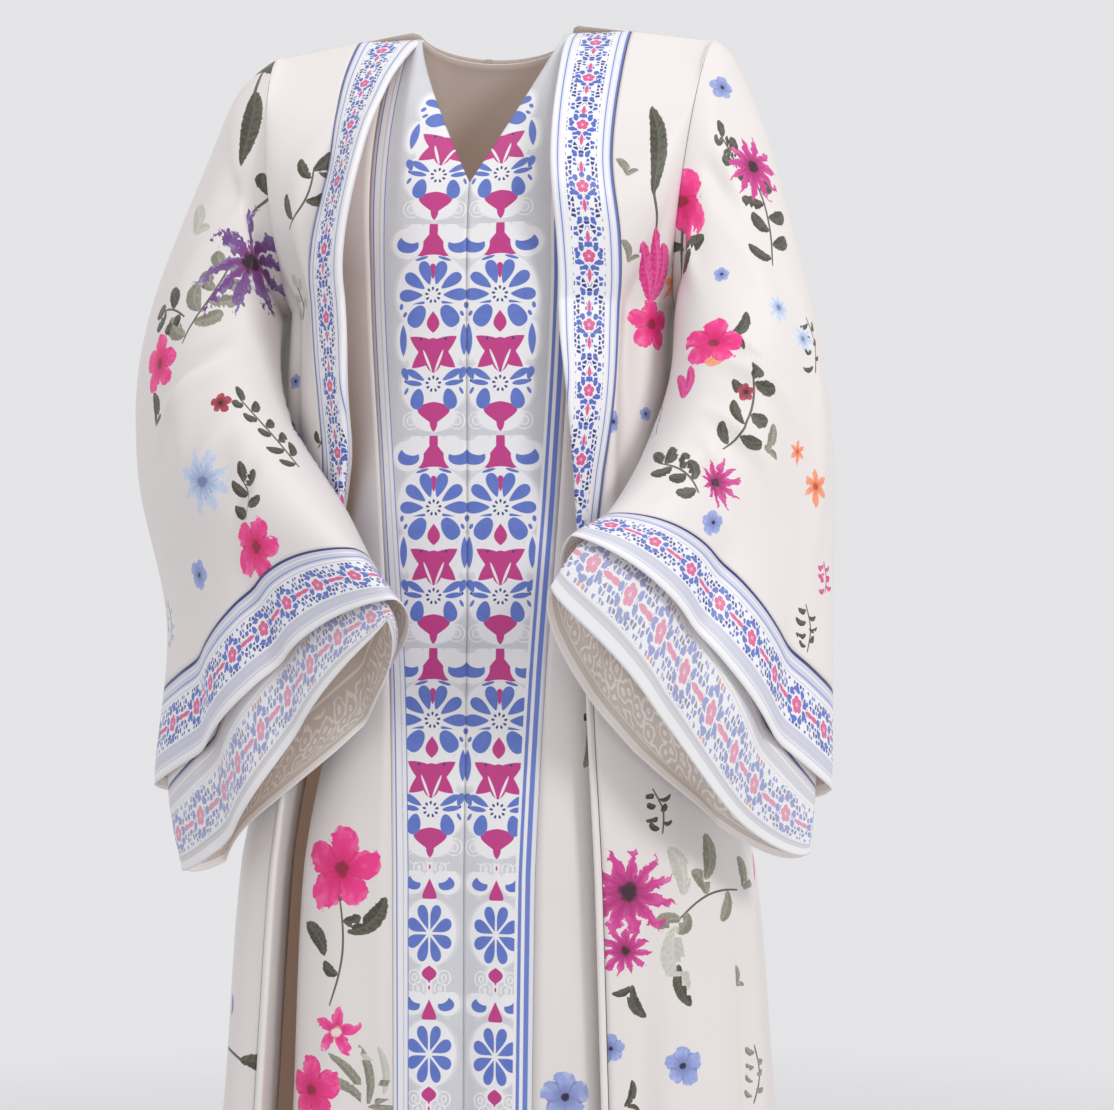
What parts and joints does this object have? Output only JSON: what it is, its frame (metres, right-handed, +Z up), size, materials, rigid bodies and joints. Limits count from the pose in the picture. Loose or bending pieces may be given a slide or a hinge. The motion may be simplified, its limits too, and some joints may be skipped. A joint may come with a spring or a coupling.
{
  "type": "layered abaya, worn form",
  "caption": "Floor-length layered abaya in worn form: open over-robe with bands, closed under-robe with a medallion panel, wide bell sleeves with bordered cuffs.",
  "frame": {"origin": "midway between the neck points of the two shoulder seams, where the wearer's shoulders carry the robe", "axes": "+Z up along the body, -Y to the wearer's front, +X to the wearer's left"},
  "size_m": [0.7174, 0.46, 1.4171],
  "materials": {
    "printed_satin": "cream satin with a scattered floral print, soft sheen, paler reverse",
    "border_band": "satin printed with lilac and white stripes and small blue and pink flowers",
    "ornament_panel": "satin printed with columns of blue and magenta medallions on grey"
  },
  "bodies": {
    "root": {"over_back": "printed_satin", "over_front_right": "printed_satin", "over_front_left": "printed_satin", "over_band_right": "border_band", "over_band_left": "border_band", "over_sleeve_right": "printed_satin", "over_sleeve_left": "printed_satin", "over_cuff_right": "border_band", "over_cuff_left": "border_band", "under_back": "printed_satin", "under_front_right": "printed_satin", "under_front_left": "printed_satin", "under_panel_right": "ornament_panel", "under_panel_left": "ornament_panel", "under_sleeve_right": "printed_satin", "under_sleeve_left": "printed_satin", "under_cuff_right": "border_band", "under_cuff_left": "border_band"}
  },
  "joints": []
}
